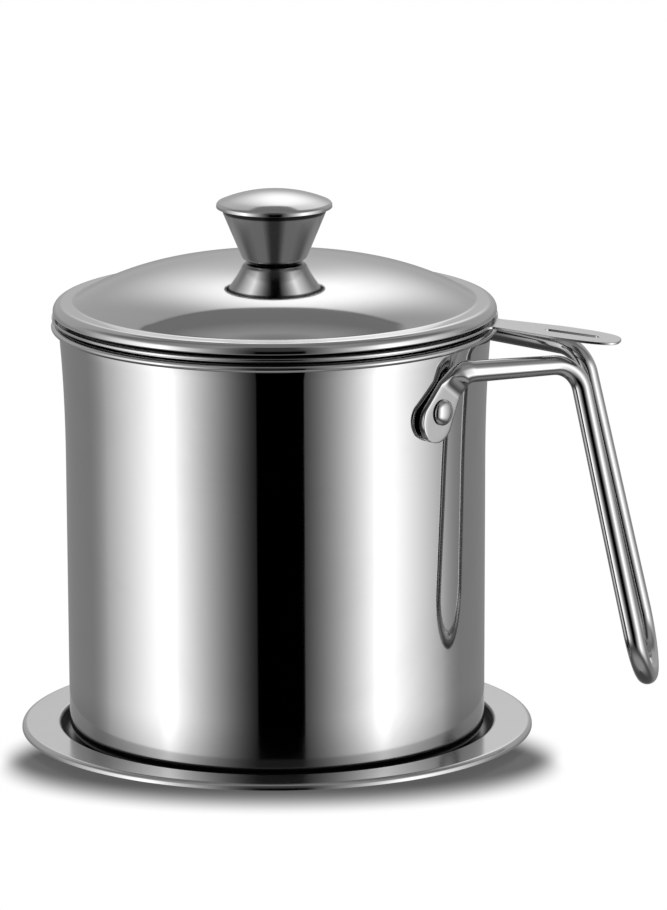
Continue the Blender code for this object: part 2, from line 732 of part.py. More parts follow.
def make_knob_stem(material):
    low = KNOB_BASE + KNOB_SHEET + CLEARANCE
    top = knob_top_height(STEM_RADIUS) - KNOB_SHEET - CLEARANCE
    bore_top = SCREW_HEAD_TOP + SCREW_LENGTH + CLEARANCE
    outline = [
        (SCREW_HOLE_RADIUS, low),
        (STEM_RADIUS, low),
        (STEM_RADIUS, top),
        (0.0, top),
        (0.0, bore_top),
        (SCREW_HOLE_RADIUS, bore_top),
    ]
    return turned("knob_stem", outline, material, TINY_SEGMENTS)


def make_screw_washer(material):
    low = WASHER_TOP - WASHER_THICKNESS
    outline = [
        (SCREW_HOLE_RADIUS, low),
        (WASHER_RADIUS, low),
        (WASHER_RADIUS, WASHER_TOP),
        (SCREW_HOLE_RADIUS, WASHER_TOP),
    ]
    return turned("screw_washer", outline, material, TINY_SEGMENTS)


def make_lid_screw(material):
    head_low = SCREW_HEAD_TOP - SCREW_HEAD_HEIGHT
    head_edge = SCREW_HEAD_RADIUS - SCREW_HEAD_HEIGHT / 2
    tip = SCREW_HEAD_TOP + SCREW_LENGTH
    outline = [
        (0.0, head_low),
        (head_edge, head_low),
        (SCREW_HEAD_RADIUS, head_low + SCREW_HEAD_HEIGHT / 2),
        (SCREW_HEAD_RADIUS, SCREW_HEAD_TOP),
        (SCREW_RADIUS, SCREW_HEAD_TOP),
        (SCREW_RADIUS, tip),
        (0.0, tip),
    ]
    return turned("lid_screw", outline, material, TINY_SEGMENTS)


def build():
    clear_scene()
    polished = steel(*POLISHED_STEEL)
    satin = steel(*SATIN_STEEL)
    knob_steel = steel(*KNOB_STEEL)
    mesh_steel = steel(*MESH_STEEL)

    make_drip_tray(satin)
    left_cutter = rivet_hole_cutter(1, "left_rivet_hole", satin)
    right_cutter = rivet_hole_cutter(-1, "right_rivet_hole", satin)
    make_pot_body(polished, (left_cutter, right_cutter))
    make_handle_bar(polished, left_cutter)
    make_rivet("handle_rivet_left", 1, polished)
    make_rivet("handle_rivet_right", -1, polished)
    make_strainer_rim(satin)
    make_strainer_cup(satin)
    make_strainer_mesh(mesh_steel)
    make_mesh_retaining_ring(satin)
    make_lid(polished)
    make_lid_seat_ring(satin)
    make_knob_bowl(knob_steel)
    make_knob_top(polished)
    make_knob_stem(satin)
    make_screw_washer(satin)
    make_lid_screw(satin)


build()
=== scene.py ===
import math

import bmesh
import bpy
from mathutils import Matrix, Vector
from mathutils.geometry import delaunay_2d_cdt


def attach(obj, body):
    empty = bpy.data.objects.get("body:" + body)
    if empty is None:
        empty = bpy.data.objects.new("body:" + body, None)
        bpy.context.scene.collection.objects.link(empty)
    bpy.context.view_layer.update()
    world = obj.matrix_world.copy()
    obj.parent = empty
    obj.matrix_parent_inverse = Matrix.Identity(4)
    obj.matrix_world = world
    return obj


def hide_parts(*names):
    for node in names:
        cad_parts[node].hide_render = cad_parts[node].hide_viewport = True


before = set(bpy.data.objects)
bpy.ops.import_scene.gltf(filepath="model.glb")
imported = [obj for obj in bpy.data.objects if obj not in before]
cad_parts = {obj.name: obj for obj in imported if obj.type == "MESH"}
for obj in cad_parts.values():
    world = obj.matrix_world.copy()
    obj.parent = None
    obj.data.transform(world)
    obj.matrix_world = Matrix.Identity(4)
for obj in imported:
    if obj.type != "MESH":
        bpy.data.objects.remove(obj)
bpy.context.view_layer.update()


# Camera: a long lens two metres away, a little above the lid and turned slightly
# towards the handle. The photograph is upright, so its long side sets the lens.
CAMERA_TURN = math.radians(6.5)
CAMERA_TILT = math.radians(12.61)
CAMERA_ROLL = math.radians(-0.22)
CAMERA_DISTANCE = 2.0
FOCAL_PIXELS = 6997
LONG_SIDE_PIXELS = 910
SENSOR_WIDTH = 36.0
VIEW_DEPTH = 20.0
AIM_RIGHT = 0.01653
AIM_HEIGHT = 0.08236

to_right = Vector((math.cos(CAMERA_TURN), math.sin(CAMERA_TURN), 0.0))
to_viewer = Vector((
    math.sin(CAMERA_TURN) * math.cos(CAMERA_TILT),
    -math.cos(CAMERA_TURN) * math.cos(CAMERA_TILT),
    math.sin(CAMERA_TILT),
))
camera_data = bpy.data.cameras.new("camera")
camera_data.sensor_width = SENSOR_WIDTH
camera_data.lens = FOCAL_PIXELS / LONG_SIDE_PIXELS * camera_data.sensor_width
camera_data.clip_end = VIEW_DEPTH
camera = bpy.data.objects.new("camera", camera_data)
bpy.context.scene.collection.objects.link(camera)
aim = to_right * AIM_RIGHT + Vector((0.0, 0.0, AIM_HEIGHT))
camera.location = aim + to_viewer * CAMERA_DISTANCE
level = (-to_viewer).to_track_quat("-Z", "Y").to_matrix().to_4x4()
camera.rotation_euler = level.to_euler()
camera.rotation_euler.rotate_axis("Z", CAMERA_ROLL)
bpy.context.scene.camera = camera


# Drip tray: a round dish drawn from one sheet of steel, with a flat recess that the
# pot stands in and a wide flange whose edge is turned down. It is spun and brushed
# around; only the flange is polished, the recess is left rougher, and its grey is
# darkened with painted shade.
TRAY_SHEET = 0.0008
TRAY_FLOOR_RADIUS = 0.0609
TRAY_RECESS_RADIUS = 0.0623
TRAY_LIP_RADIUS = 0.0734
TRAY_FLANGE_HEIGHT = 0.0049
TRAY_LIP_DROP = 0.0019
TRAY_FLOOR_BEND = 0.0024
TRAY_RECESS_BEND = 0.0011
TRAY_LIP_BEND = 0.0014
# The recess: painted shade darkens its grey, and it is also rougher
RECESS_PAINTED_SHADE = 0.15
RECESS_ROUGHER = 0.20
RECESS_FADE = 0.0008
ROUND_STEPS = 240
BROKEN_EDGE = 0.00020


def bent_line(corners, steps, straight):
    # Line through (point, bend) corners. Each bend becomes an arc with a short straight
    # either side, so that the flat stretches stay flat when they are shaded smooth.
    points = []
    for index, (here, bend) in enumerate(corners):
        if bend == 0.0:
            points.append(here)
            continue
        before = (corners[index - 1][0] - here).normalized()
        after = (corners[index + 1][0] - here).normalized()
        half = before.angle(after) / 2
        centre = here + (before + after).normalized() * (bend / math.sin(half))
        start = here + before * (bend / math.tan(half))
        end = here + after * (bend / math.tan(half))
        points.append(start + before * (bend * straight))
        for step in range(steps + 1):
            spoke = (start - centre).lerp(end - centre, step / steps).normalized() * bend
            points.append(centre + spoke)
        points.append(end + after * (bend * straight))
    return points


def bent_profile(corners, steps=10):
    # The same through the (radius, height, bend) corners of a round piece's face
    places = [(Vector((radius, height)), bend) for radius, height, bend in corners]
    return bent_line(places, steps, straight=0.12)


def folded_sheet(face, thickness):
    # Outline of a sheet from the points of one face; the metal lies to the right of them
    back = []
    for index, here in enumerate(face):
        sides = []
        for first, second in ((index - 1, index), (index, index + 1)):
            if first >= 0 and second < len(face):
                along = (face[second] - face[first]).normalized()
                sides.append(Vector((along.y, -along.x)))
        mean = sum(sides, Vector((0.0, 0.0))).normalized()
        offset = mean * (thickness / mean.dot(sides[0]))
        if here.x == 0.0:
            offset = Vector((0.0, math.copysign(thickness, offset.y)))
        back.append(here + offset)
    return list(face) + back[::-1]


def spun(name, outline, steps=ROUND_STEPS, edge=BROKEN_EDGE):
    # Turns an outline of (radius, height) points round the pot's axis. An outline that
    # starts and ends on the axis is left open along it; any other one is a closed ring.
    mesh = bmesh.new()
    rings = []
    for radius, height in outline:
        if radius < 1e-7:
            rings.append([mesh.verts.new((0.0, 0.0, height))])
            continue
        rings.append([
            mesh.verts.new((
                radius * math.cos(math.tau * step / steps),
                radius * math.sin(math.tau * step / steps),
                height,
            ))
            for step in range(steps)
        ])
    pairs = list(zip(rings, rings[1:]))
    if len(rings[0]) > 1:
        pairs.append((rings[-1], rings[0]))
    for first, second in pairs:
        for step in range(steps):
            after = (step + 1) % steps
            corners = [first[step % len(first)], first[after % len(first)]]
            corners += [second[after % len(second)], second[step % len(second)]]
            kept = list(dict.fromkeys(corners))
            if len(kept) > 2:
                mesh.faces.new(kept)
    return finished(name, mesh, edge)


def finished(name, mesh, edge):
    # Makes the object; its square edges are broken with a small rounded bevel
    bmesh.ops.recalc_face_normals(mesh, faces=mesh.faces)
    data = bpy.data.meshes.new(name)
    mesh.to_mesh(data)
    mesh.free()
    data.shade_smooth()
    piece = bpy.data.objects.new(name, data)
    bpy.context.scene.collection.objects.link(piece)
    if edge > 0.0:
        bevel = piece.modifiers.new("broken edges", "BEVEL")
        bevel.width = edge
        bevel.segments = 3
        bevel.limit_method = "ANGLE"
        bevel.angle_limit = math.radians(50)
        bevel.harden_normals = True
    return piece


def nodes_of(material):
    # Returns short calls that add a node, and a sum or other calculation, to a material
    tree = material.node_tree

    def add(kind, **settings):
        node = tree.nodes.new(kind)
        for key, value in settings.items():
            setattr(node, key, value)
        return node

    def feed(socket, value):
        if isinstance(value, bpy.types.NodeSocket):
            tree.links.new(value, socket)
        else:
            socket.default_value = value

    def work(operation, *values):
        node = add("ShaderNodeMath", operation=operation)
        for socket, value in zip(node.inputs, values):
            feed(socket, value)
        return node.outputs[0]

    def spread(value, low, high, to_low, to_high, soft=False):
        node = add("ShaderNodeMapRange")
        node.interpolation_type = "SMOOTHSTEP" if soft else "LINEAR"
        for socket, number in zip(node.inputs, (value, low, high, to_low, to_high)):
            feed(socket, number)
        return node.outputs[0]

    return add, feed, work, spread


def new_steel(name):
    # A bare metal, with its shader and where a point of the piece lies
    material = bpy.data.materials.new(name)
    material.use_nodes = True
    shader = material.node_tree.nodes["Principled BSDF"]
    shader.inputs["Metallic"].default_value = 1.0
    add = nodes_of(material)[0]
    return material, shader, add("ShaderNodeTexCoord").outputs["Object"]


def from_axis(material, place):
    # A point's distance from the pot's axis, and its height
    add, feed, work, spread = nodes_of(material)
    parts = add("ShaderNodeSeparateXYZ")
    feed(parts.inputs[0], place)
    squares = [work("POWER", parts.outputs[axis], 2.0) for axis in (0, 1)]
    return work("SQRT", work("ADD", *squares)), parts.outputs[2]


def speckle(material, place, dimensions="3D", **settings):
    # Soft random greys, by the settings of Blender's noise
    add, feed, work, spread = nodes_of(material)
    noise = add("ShaderNodeTexNoise", noise_dimensions=dimensions)
    feed(noise.inputs["Vector"], place)
    for name, value in settings.items():
        noise.inputs[name].default_value = value
    return noise.outputs[0]


def scratched(material, shader, height, depth):
    # Raises and sinks the surface by very little
    add, feed, work, spread = nodes_of(material)
    bump = add("ShaderNodeBump")
    bump.inputs["Strength"].default_value = 1.0
    bump.inputs["Distance"].default_value = depth
    feed(bump.inputs["Height"], height)
    feed(shader.inputs["Normal"], bump.outputs[0])


def two_greys(material, first, second, share):
    # A grey, or a colour that is there already, that turns into another grey
    add, feed, work, spread = nodes_of(material)
    greys = add("ShaderNodeMix", data_type="RGBA")
    feed(greys.inputs["Factor"], share)
    for socket, grey in ((6, first), (7, second)):
        is_grey = isinstance(grey, float)
        feed(greys.inputs[socket], (grey, grey, grey, 1.0) if is_grey else grey)
    return greys.outputs[2]


def spun_steel(name, shade, roughness, line_size, line_depth, cloud):
    # Steel polished on the lathe: fine rings round the axis, broken up in patches, with
    # faint wiping marks that make it duller here and there and change its grey a little
    material, shader, place = new_steel(name)
    add, feed, work, spread = nodes_of(material)
    radius, height = from_axis(material, place)
    rings = add("ShaderNodeCombineXYZ")
    feed(rings.inputs[0], work("MULTIPLY", radius, 1.0 / line_size))
    feed(rings.inputs[1], work("MULTIPLY", height, 1.0 / line_size))
    lines = speckle(material, rings.outputs[0], "2D", Scale=1.0, Detail=3.0)
    patches = speckle(material, place, Scale=55.0, Detail=2.0)
    wiping = speckle(material, place, Scale=18.0, Detail=6.0, Roughness=0.65, Distortion=1.2)
    marks = spread(wiping, 0.45, 0.70, 0.0, 1.0, soft=True)
    broken_lines = work("MULTIPLY", lines, spread(patches, 0.30, 0.65, 0.35, 1.0))
    scratched(material, shader, broken_lines, line_depth)
    dulling = work("ADD", work("MULTIPLY", marks, cloud), work("MULTIPLY", broken_lines, cloud))
    feed(shader.inputs["Roughness"], work("ADD", dulling, roughness))
    greys = two_greys(material, shade, shade * 0.93, work("MULTIPLY", marks, 0.6))
    feed(shader.inputs["Base Color"], greys)
    return material


def recess_rougher_and_painted_dark(steel):
    # Inside the tray's recess the steel is rougher than on the flange, and its grey is darkened
    # with painted shade
    add, feed, work, spread = nodes_of(steel)
    sockets = steel.node_tree.nodes["Principled BSDF"].inputs
    colour, roughness = sockets["Base Color"], sockets["Roughness"]
    place = add("ShaderNodeTexCoord").outputs["Object"]
    radius = from_axis(steel, place)[0]
    fade_end = TRAY_RECESS_RADIUS + RECESS_FADE
    in_recess = spread(radius, TRAY_RECESS_RADIUS, fade_end, 1.0, 0.0, soft=True)
    rougher = work("MULTIPLY", in_recess, RECESS_ROUGHER)
    feed(roughness, work("ADD", roughness.links[0].from_socket, rougher))
    feed(colour, two_greys(steel, colour.links[0].from_socket, RECESS_PAINTED_SHADE, in_recess))


tray_face = bent_profile([
    (0.0, TRAY_SHEET, 0.0),
    (TRAY_FLOOR_RADIUS, TRAY_SHEET, TRAY_FLOOR_BEND),
    (TRAY_RECESS_RADIUS, TRAY_FLANGE_HEIGHT, TRAY_RECESS_BEND),
    (TRAY_LIP_RADIUS, TRAY_FLANGE_HEIGHT, TRAY_LIP_BEND),
    (TRAY_LIP_RADIUS, TRAY_FLANGE_HEIGHT - TRAY_LIP_DROP, 0.0),
])
tray = spun("drip_tray_sheet", folded_sheet(tray_face, TRAY_SHEET))
tray_steel = spun_steel(
    "brushed_tray_steel",
    shade=0.60, roughness=0.12, line_size=0.00035, line_depth=0.0000010, cloud=0.06,
)
# Painted shade darkens the recess, which is also rougher
recess_rougher_and_painted_dark(tray_steel)
tray.data.materials.append(tray_steel)
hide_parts("drip_tray")
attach(tray, "tray_body")


# Pot body: a deep cup drawn from one sheet of stainless steel. Its wall is straight,
# flares near the top and ends in a rolled rim; outside it is polished like a mirror.
POT_SHEET = 0.0008
POT_BOTTOM = 0.0011
POT_BASE_RADIUS = 0.05965
POT_WALL_LEAN = 0.00025
FLARE_START = 0.075
FLARE_END = 0.11885
FLARE_OUT = 0.0016
FLARE_CURVE = 2.5
FLARE_STEPS = 24
POT_BASE_BEND = 0.0050
POT_BASE_INSIDE_BEND = 0.0042
RIM_BEAD_HEIGHT = 0.12065
RIM_BEAD_HALF_WIDTH = 0.0015
RIM_BEAD_HALF_HEIGHT = 0.0011
RIM_ROLL_FROM = -120
RIM_ROLL_TURN = 300
RIM_ROLL_STEPS = 24
POT_MOUTH_RADIUS = POT_BASE_RADIUS + POT_WALL_LEAN + FLARE_OUT - POT_SHEET


def pot_wall_radius(height):
    lean = POT_WALL_LEAN * min(1.0, height / FLARE_START)
    rise = max(0.0, height - FLARE_START) / (FLARE_END - FLARE_START)
    return POT_BASE_RADIUS + lean + FLARE_OUT * rise ** FLARE_CURVE


pot_outside = bent_profile([
    (0.0, POT_BOTTOM, 0.0),
    (POT_BASE_RADIUS, POT_BOTTOM, POT_BASE_BEND),
    (pot_wall_radius(FLARE_START), FLARE_START, 0.0),
], steps=16)
for step in range(1, FLARE_STEPS + 1):
    height = FLARE_START + (FLARE_END - FLARE_START) * step / FLARE_STEPS
    pot_outside.append(Vector((pot_wall_radius(height), height)))
rolled_rim = []
for step in range(RIM_ROLL_STEPS + 1):
    turn = math.radians(RIM_ROLL_FROM + RIM_ROLL_TURN * step / RIM_ROLL_STEPS)
    rolled_rim.append(Vector((
        POT_MOUTH_RADIUS + RIM_BEAD_HALF_WIDTH * (1 + math.cos(turn)),
        RIM_BEAD_HEIGHT + RIM_BEAD_HALF_HEIGHT * math.sin(turn),
    )))
pot_inside = [point - Vector((POT_SHEET, 0.0)) for point in pot_outside[-FLARE_STEPS - 1:]]
pot_floor = bent_profile([
    (0.0, POT_BOTTOM + POT_SHEET, 0.0),
    (POT_BASE_RADIUS - POT_SHEET, POT_BOTTOM + POT_SHEET, POT_BASE_INSIDE_BEND),
    (pot_inside[0].x, pot_inside[0].y, 0.0),
], steps=12)
pot_outline = pot_outside + rolled_rim + pot_inside[::-1] + pot_floor[-2::-1]
pot = spun("pot_wall", pot_outline, steps=320)


def painted_shade_by_height(steel, low, high, below, above, rougher=0.0):
    # Paints shade by height: scales a steel's grey by one share below a height and by another
    # above a second one, with a soft change between, and can make the lower part rougher
    add, feed, work, spread = nodes_of(steel)
    sockets = steel.node_tree.nodes["Principled BSDF"].inputs
    colour, roughness = sockets["Base Color"], sockets["Roughness"]
    parts = add("ShaderNodeSeparateXYZ")
    feed(parts.inputs[0], add("ShaderNodeTexCoord").outputs["Object"])
    scaled = add("ShaderNodeVectorMath", operation="SCALE")
    feed(scaled.inputs[0], colour.links[0].from_socket)
    feed(scaled.inputs["Scale"], spread(parts.outputs[2], low, high, below, above, soft=True))
    feed(colour, scaled.outputs["Vector"])
    if rougher:
        more = spread(parts.outputs[2], low, high, rougher, 0.0, soft=True)
        feed(roughness, work("ADD", roughness.links[0].from_socket, more))


pot_steel = spun_steel(
    "mirror_polished_pot_steel",
    shade=0.60, roughness=0.035, line_size=0.0006, line_depth=0.0000004, cloud=0.02,
)
# Painted shade: the wall's grey darkens towards the foot, and the foot is a little rougher
painted_shade_by_height(pot_steel, low=0.0045, high=0.0210, below=0.66, above=1.0, rougher=0.07)
pot.data.materials.append(pot_steel)
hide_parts("pot_body")
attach(pot, "pot")


# Handle: one steel rod bent into a loop. Each end is pressed flat into a lug that
# slopes down round the wall, and the two legs hang side by side and join at the foot.
BAR_RADIUS = 0.0028
LUG_THICKNESS = 0.0020
LUG_END_RADIUS = 0.0064
LUG_TAIL = 0.0026
LUG_SLOPE = math.radians(55)
LUG_FLAT = 0.0068
LUG_PRESSED = 0.0090
LUG_LENGTH = 0.0128
LUG_BEND = 0.0050
RIVET_TURN = math.radians(35.2)
RIVET_HEIGHT = 0.1038
FIT_GAP = 0.0003
HANDLE_ELBOW = Vector((0.0870, 0.0104, 0.1131))
HANDLE_ELBOW_BEND = 0.0089
HANDLE_FOOT = Vector((0.1037, 0.0159, 0.0364))
LUG_END_STEPS = 14
LUG_FLAT_STEPS = 8
HANDLE_FOOT_STEPS = 20
DRAW_MARK_DEPTH = 0.0000006
LUG_FACE = pot_wall_radius(RIVET_HEIGHT + LUG_FLAT * math.sin(LUG_SLOPE)) + FIT_GAP


def eased(value):
    value = min(1.0, max(0.0, value))
    return value * value * (3 - 2 * value)


def half_of_handle():
    # Centre line of the left half of the rod, from its lug's round end to the middle of
    # the foot, and the way that its lug faces
    outward = Vector((math.cos(RIVET_TURN), math.sin(RIVET_TURN), 0.0))
    around = Vector((-math.sin(RIVET_TURN), math.cos(RIVET_TURN), 0.0))
    down_slope = around * math.cos(LUG_SLOPE) - Vector((0.0, 0.0, math.sin(LUG_SLOPE)))
    rivet = outward * (LUG_FACE + LUG_THICKNESS / 2) + Vector((0.0, 0.0, RIVET_HEIGHT))
    corner = rivet - down_slope * LUG_LENGTH + outward * (BAR_RADIUS - LUG_THICKNESS / 2 + FIT_GAP)
    line = []
    for step in range(LUG_END_STEPS + 1):
        turn = math.pi / 2 * step / LUG_END_STEPS
        line.append(rivet + down_slope * (LUG_TAIL + LUG_END_RADIUS * math.cos(turn)))
    for step in range(1, LUG_FLAT_STEPS):
        climb = (LUG_TAIL + LUG_FLAT) * step / LUG_FLAT_STEPS
        line.append(rivet + down_slope * (LUG_TAIL - climb))
    line += bent_line([
        (rivet - down_slope * LUG_FLAT, 0.0),
        (corner, LUG_BEND),
        (HANDLE_ELBOW, HANDLE_ELBOW_BEND),
        (HANDLE_FOOT, 0.0),
    ], steps=16, straight=0.1)
    leg = (HANDLE_FOOT - HANDLE_ELBOW).normalized()
    forward = Vector((leg.x, 0.0, leg.z)).normalized()
    middle = Vector((HANDLE_FOOT.x, 0.0, HANDLE_FOOT.z))
    for step in range(1, HANDLE_FOOT_STEPS + 1):
        turn = math.pi / 2 * step / HANDLE_FOOT_STEPS
        aside = Vector((0.0, HANDLE_FOOT.y * math.cos(turn), 0.0))
        line.append(middle + forward * (HANDLE_FOOT.y * math.sin(turn)) + aside)
    return line, outward


def rod_ring(mesh, centre, along, outward, travelled, sides=36):
    # One ring of the rod: flat and wide at the lug, round further on
    if travelled < 0.0:
        width = max(math.sqrt(max(0.0, LUG_END_RADIUS ** 2 - travelled ** 2)), LUG_THICKNESS / 2)
        rounding = 0.0
    else:
        narrowing = min(1.0, travelled / (LUG_TAIL + LUG_LENGTH + LUG_BEND))
        width = LUG_END_RADIUS + (BAR_RADIUS - LUG_END_RADIUS) * narrowing
        rounding = eased((travelled - LUG_TAIL - LUG_PRESSED) / (LUG_LENGTH - LUG_PRESSED))
    thickness = LUG_THICKNESS / 2 + (BAR_RADIUS - LUG_THICKNESS / 2) * rounding
    power = 0.30 + 0.70 * rounding
    thin = (outward - along * outward.dot(along)).normalized()
    wide = along.cross(thin)
    ring = []
    for side in range(sides):
        turn = math.tau * (side + 0.5) / sides
        across = math.copysign(abs(math.cos(turn)) ** power, math.cos(turn))
        through = math.copysign(abs(math.sin(turn)) ** power, math.sin(turn))
        ring.append(mesh.verts.new(centre + wide * (width * across) + thin * (thickness * through)))
    return ring


def bent_rod(name):
    line, outward = half_of_handle()
    mesh = bmesh.new()
    for mirror in (1.0, -1.0):
        rings = []
        travelled = -LUG_END_RADIUS
        for index, centre in enumerate(line):
            ahead = line[index + 1] if index + 1 < len(line) else centre + Vector((0.0, -1.0, 0.0))
            behind = line[index - 1] if 0 < index < len(line) - 1 else centre
            if index > 0:
                travelled += (centre - line[index - 1]).length
            rings.append(rod_ring(mesh, centre, (ahead - behind).normalized(), outward, travelled))
        for ring in rings:
            for vertex in ring:
                vertex.co.y *= mirror
        for vertex in rings[-1]:
            vertex.co.y = 0.0
        for first, second in zip(rings, rings[1:]):
            for side in range(len(first)):
                after = (side + 1) % len(first)
                mesh.faces.new((first[side], first[after], second[after], second[side]))
        mesh.faces.new(rings[0])
    bmesh.ops.remove_doubles(mesh, verts=mesh.verts, dist=0.000005)
    return finished(name, mesh, 0.0)


def drawn_steel(name, shade, roughness):
    # Steel rod polished lengthwise: long faint draw marks, and small dull spots from handling
    material, shader, place = new_steel(name)
    add, feed, work, spread = nodes_of(material)
    stretched = add("ShaderNodeMapping")
    feed(stretched.inputs["Vector"], place)
    stretched.inputs["Scale"].default_value = (1800.0, 1800.0, 60.0)
    marks = speckle(material, stretched.outputs[0], Scale=1.0, Detail=2.0)
    handling = speckle(material, place, Scale=90.0, Detail=5.0)
    dull = spread(handling, 0.45, 0.70, 0.0, 0.05, soft=True)
    feed(shader.inputs["Roughness"], work("ADD", dull, roughness))
    scratched(material, shader, marks, DRAW_MARK_DEPTH)
    greys = two_greys(material, shade, shade * 0.92, spread(handling, 0.35, 0.75, 0.0, 1.0))
    feed(shader.inputs["Base Color"], greys)
    return material


handle = bent_rod("bent_rod_handle")
handle_steel = drawn_steel("drawn_handle_steel", shade=0.60, roughness=0.07)
handle.data.materials.append(handle_steel)
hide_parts("handle_bar")
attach(handle, "pot")


# Rivets: two solid steel rivets go through the lugs and the pot's wall. The outer head
# is a low dome; the tail is set flat inside the pot.
RIVET_SHANK = 0.0020
RIVET_HEAD = 0.0037
RIVET_HEAD_RISE = 0.0016
RIVET_TAIL = 0.0032
RIVET_TAIL_RISE = 0.0008
RIVET_DOME_STEPS = 14


def rivet_outline():
    # (radius, distance from the pot's axis) points, from the tail to the head
    head_face = LUG_FACE + LUG_THICKNESS + FIT_GAP
    wall_inside = pot_wall_radius(RIVET_HEIGHT - RIVET_TAIL) - POT_SHEET
    tail_face = math.sqrt(wall_inside ** 2 - RIVET_TAIL ** 2) - FIT_GAP
    outline = [
        (0.0, tail_face - RIVET_TAIL_RISE),
        (RIVET_TAIL, tail_face - RIVET_TAIL_RISE),
        (RIVET_TAIL, tail_face),
        (RIVET_SHANK, tail_face),
        (RIVET_SHANK, head_face),
    ]
    for step in range(RIVET_DOME_STEPS + 1):
        turn = math.pi / 2 * step / RIVET_DOME_STEPS
        outline.append((RIVET_HEAD * math.cos(turn), head_face + RIVET_HEAD_RISE * math.sin(turn)))
    outline[-1] = (0.0, head_face + RIVET_HEAD_RISE)
    return outline


for rivet_name, node_name, side in (
    ("left_rivet", "handle_rivet_left", 1),
    ("right_rivet", "handle_rivet_right", -1),
):
    rivet = spun(rivet_name, rivet_outline(), steps=64, edge=0.00015)
    outward = Vector((math.cos(RIVET_TURN), side * math.sin(RIVET_TURN), 0.0))
    turning = Vector((0.0, 0.0, 1.0)).rotation_difference(outward).to_matrix().to_4x4()
    rivet.data.transform(turning)
    for vertex in rivet.data.vertices:
        vertex.co.z += RIVET_HEIGHT
    rivet.data.materials.append(handle_steel)
    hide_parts(node_name)
    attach(rivet, "pot")


# Strainer cup: a shallow cup drawn from thin steel that hangs in the pot's mouth. Its
# bottom is cut out, which leaves a narrow floor for the mesh to be held under.
CUP_SHEET = 0.0005
CUP_TOP = 0.12255
CUP_BOTTOM = 0.08455
CUP_FLANGE_RADIUS = 0.0614
CUP_TOP_RADIUS = 0.0589
CUP_BOTTOM_RADIUS = 0.0550
CUP_MOUTH_RADIUS = 0.0460
CUP_FLOOR_BEND = 0.0030
CUP_FLANGE_BEND = 0.0010

cup_face = bent_profile([
    (CUP_MOUTH_RADIUS, CUP_BOTTOM, 0.0),
    (CUP_BOTTOM_RADIUS, CUP_BOTTOM, CUP_FLOOR_BEND),
    (CUP_TOP_RADIUS, CUP_TOP - CUP_SHEET, CUP_FLANGE_BEND),
    (CUP_FLANGE_RADIUS, CUP_TOP - CUP_SHEET, 0.0),
])
cup = spun("strainer_cup_sheet", folded_sheet(cup_face, -CUP_SHEET), steps=200)
cup_steel = spun_steel(
    "brushed_strainer_steel",
    shade=0.54, roughness=0.16, line_size=0.00040, line_depth=0.0000012, cloud=0.06,
)
cup.data.materials.append(cup_steel)
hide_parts("strainer_cup")
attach(cup, "strainer")


# Strainer mesh: a disc of plain-woven fine steel wire, clamped under the cup's floor.
# Each wire goes over and under the ones that cross it.
MESH_TOP = CUP_BOTTOM - FIT_GAP
MESH_THICKNESS = 0.0005
MESH_RADIUS = 0.0499
WIRE_PITCH = 0.00145
WIRE_RADIUS = 0.00012
WIRE_SIDES = 4
STEPS_PER_PITCH = 4


def woven_disc(name):
    mesh = bmesh.new()
    middle = MESH_TOP - MESH_THICKNESS / 2
    swing = MESH_THICKNESS / 2 - WIRE_RADIUS
    count = int(MESH_RADIUS / WIRE_PITCH)
    for direction in (0, 1):
        for wire in range(-count, count + 1):
            offset = wire * WIRE_PITCH
            reach = math.sqrt(MESH_RADIUS ** 2 - offset ** 2)
            steps = max(2, int(reach / WIRE_PITCH * STEPS_PER_PITCH))
            rings = []
            for step in range(-steps, steps + 1):
                along = reach * step / steps
                side = -1.0 if (wire + direction) % 2 else 1.0
                height = middle + side * swing * math.cos(math.pi * along / WIRE_PITCH)
                ring = []
                for corner in range(WIRE_SIDES):
                    turn = math.tau * (corner + 0.5) / WIRE_SIDES
                    across = offset + WIRE_RADIUS * math.cos(turn)
                    point = (along, across) if direction == 0 else (across, along)
                    ring.append(mesh.verts.new((*point, height + WIRE_RADIUS * math.sin(turn))))
                rings.append(ring)
            for first, second in zip(rings, rings[1:]):
                for corner in range(WIRE_SIDES):
                    after = (corner + 1) % WIRE_SIDES
                    mesh.faces.new((first[corner], first[after], second[after], second[corner]))
            mesh.faces.new(rings[0])
            mesh.faces.new(rings[-1])
    return finished(name, mesh, 0.0)


woven = woven_disc("woven_wire_disc")
woven.data.materials.append(drawn_steel("fine_wire_steel", shade=0.50, roughness=0.22))
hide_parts("strainer_mesh")
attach(woven, "strainer")


# Mesh ring: a flat steel washer under the mesh, spot welded to the cup's floor, that
# clamps the mesh all round.
RING_SHEET = 0.0007
RING_RADIUS = 0.0512
ring_top = CUP_BOTTOM - MESH_THICKNESS - 2 * FIT_GAP

ring_outline = [
    (CUP_MOUTH_RADIUS, ring_top - RING_SHEET),
    (RING_RADIUS, ring_top - RING_SHEET),
    (RING_RADIUS, ring_top),
    (CUP_MOUTH_RADIUS, ring_top),
]
mesh_ring = spun("mesh_clamping_ring", ring_outline, steps=200)
mesh_ring.data.materials.append(cup_steel)
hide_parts("mesh_retaining_ring")
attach(mesh_ring, "strainer")


# Strainer rim: a flat ring stamped in one piece with the thumb tab, which is folded a
# little down outside the pot and has a long slot in it. The cup is welded under it.
RIM_SHEET = 0.0008
RIM_TOP = 0.12365
RIM_INNER_RADIUS = 0.0584
RIM_RADIUS = 0.0635
TAB_TURN = math.radians(-6.2)
TAB_REACH = 0.0999
TAB_WIDEST_REACH = 0.0820
TAB_ROOT_HALF = 0.0054
TAB_WIDEST_HALF = 0.0077
TAB_FILLET = 0.0018
TAB_FOLD = 0.0648
TAB_DROOP = math.radians(5.7)
FOLD_EASE = 0.0008
SLOT_START = 0.0783
SLOT_END = 0.0938
SLOT_HALF = 0.0014
RIM_STEPS = 200
SLOT_END_STEPS = 16


